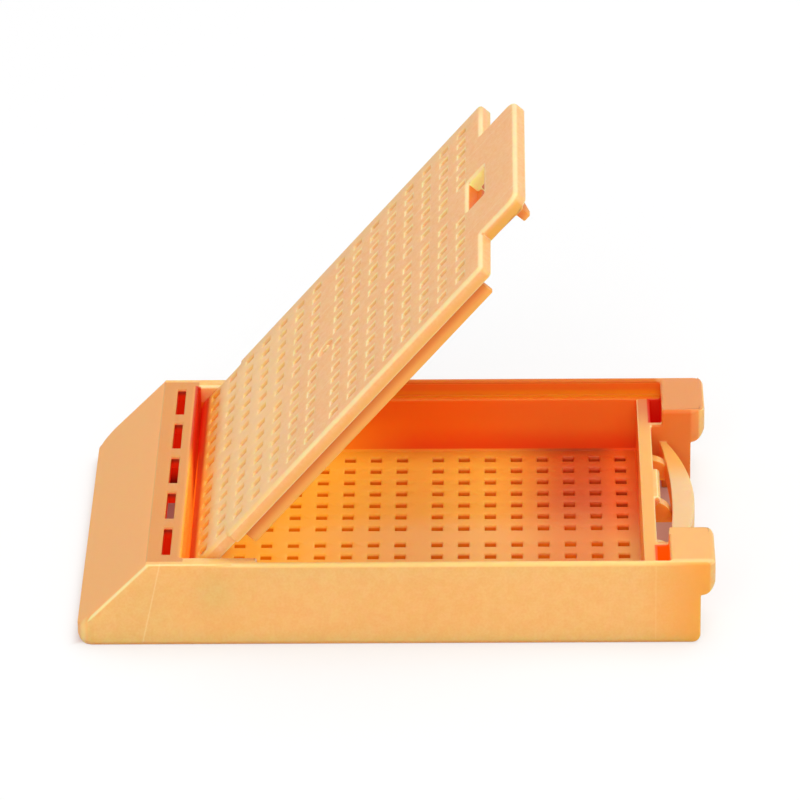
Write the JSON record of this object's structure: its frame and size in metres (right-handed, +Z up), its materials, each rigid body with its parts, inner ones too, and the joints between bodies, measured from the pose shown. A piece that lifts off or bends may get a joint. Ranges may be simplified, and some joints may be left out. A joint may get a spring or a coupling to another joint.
{
  "type": "tissue cassette",
  "caption": "Perforated tissue-processing tray with a sloped writing face, end grips and a spring bow, closed by a perforated lid that hinges on moulded pins.",
  "frame": {"origin": "on the resting face, in the middle of the base's length and width", "axes": "+X along the cassette from the writing face to the ears, +Y across it, +Z up"},
  "size_m": [0.0412, 0.0286, 0.0289],
  "materials": {
    "base_plastic": "fine matt mould texture, orange acetal",
    "lid_plastic": "fine matt mould texture, orange acetal"
  },
  "bodies": {
    "tray_body": {"base": "base_plastic"},
    "lid_body": {"lid": "lid_plastic"}
  },
  "joints": [
    {"name": "lid_hinge", "type": "hinge", "parent": "tray_body", "child": "lid_body", "pos_m": [-0.01155, 0, 0.0035], "axis": [0, -1, 0], "range_deg": [-48.8, 40.2]}
  ]
}
